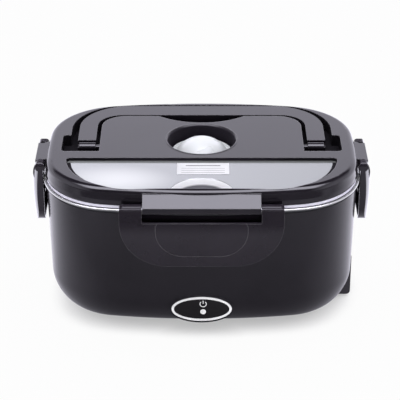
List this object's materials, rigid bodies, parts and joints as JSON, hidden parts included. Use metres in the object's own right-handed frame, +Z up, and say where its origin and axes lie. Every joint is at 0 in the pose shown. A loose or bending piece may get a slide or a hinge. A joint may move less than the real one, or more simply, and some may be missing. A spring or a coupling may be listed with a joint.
{
  "type": "electric lunch box",
  "caption": "Portable food warmer: heated casing, steel container, lift-off lid with swing latches, fold-flat handle, vent plug and mains inlet.",
  "frame": {"origin": "on the table under the middle of the box", "axes": "+Z up, -Y towards the front with the indicator, +X towards the end with the mains inlet"},
  "size_m": [0.241, 0.1662, 0.1148],
  "materials": {
    "gloss_black": "moulded black, glossy",
    "satin_black": "moulded black, satin",
    "liner_plastic": "moulded dark grey",
    "dark_plastic": "moulded, satin",
    "panel_black": "glossy black",
    "white_plastic": "white",
    "lens_white": "translucent white",
    "board_green": "solder mask",
    "silicone_grey": "translucent silicone",
    "silicone_white": "translucent silicone",
    "rubber": "matt",
    "label_white": "blank white label",
    "wire_red": "insulated lead",
    "drawn_steel": "deep-drawn stainless steel",
    "polished_steel": "polished stainless steel",
    "steel": "plain",
    "dark_steel": "blackened",
    "aluminium": "cast and milled",
    "heater_ceramic": "heater in its insulating wrap",
    "brass": "plain"
  },
  "bodies": {
    "base": {"outer_casing": "gloss_black", "inner_liner": "liner_plastic", "heating_plate": "aluminium", "ptc_heater": "heater_ceramic", "heater_clamp": "aluminium", "clamp_screws": "steel", "thermostat": "dark_plastic", "thermal_fuse": "brass", "lead_wires": "wire_red", "inlet_shroud": "satin_black", "inlet_socket": "dark_plastic", "inlet_pins": "steel", "indicator_panel": "panel_black", "indicator_ring": "white_plastic", "led_lens": "lens_white", "led_board": "board_green", "base_cover": "satin_black", "base_screws": "dark_steel", "rubber_feet": "rubber"},
    "container": {"food_container": "drawn_steel"},
    "lid": {"lid_shell": "gloss_black", "lid_liner": "liner_plastic", "lid_seal": "silicone_grey", "lid_plate": "polished_steel", "name_label": "label_white", "latch_pins": "steel"},
    "handle": {"carry_handle": "gloss_black"},
    "vent": {"vent_plug": "silicone_white"},
    "front_latch": {"latch_front": "satin_black"},
    "rear_latch": {"latch_rear": "satin_black"},
    "left_latch": {"latch_left": "satin_black"},
    "right_latch": {"latch_right": "satin_black"}
  },
  "joints": [
    {"name": "lid_lift", "type": "slide", "parent": "base", "child": "lid", "axis": [0, 0, 1], "range_m": [0, 0.12]},
    {"name": "container_lift", "type": "slide", "parent": "base", "child": "container", "axis": [0, 0, 1], "range_m": [0, 0.072]},
    {"name": "front_latch_hinge", "type": "hinge", "parent": "lid", "child": "front_latch", "pos_m": [0, -0.07771, 0.1032], "axis": [-1, 0, 0], "range_deg": [-2.8, 120]},
    {"name": "rear_latch_hinge", "type": "hinge", "parent": "lid", "child": "rear_latch", "pos_m": [0, 0.07771, 0.1032], "axis": [1, 0, 0], "range_deg": [-2.8, 120]},
    {"name": "left_latch_hinge", "type": "hinge", "parent": "lid", "child": "left_latch", "pos_m": [-0.11339, 0, 0.1065], "axis": [0, 1, 0], "range_deg": [-2.8, 120]},
    {"name": "right_latch_hinge", "type": "hinge", "parent": "lid", "child": "right_latch", "pos_m": [0.11339, 0, 0.1065], "axis": [0, -1, 0], "range_deg": [-2.8, 120]},
    {"name": "handle_hinge", "type": "hinge", "parent": "lid", "child": "handle", "pos_m": [0, 0.003, 0.1106], "axis": [1, 0, 0], "range_deg": [0, 100]},
    {"name": "vent_pull", "type": "slide", "parent": "lid", "child": "vent", "axis": [0, 0, 1], "range_m": [0, 0.006]}
  ],
  "couplings": [
    {"joint": "container_lift", "follows": "lid_lift", "ratio": 0.6}
  ]
}
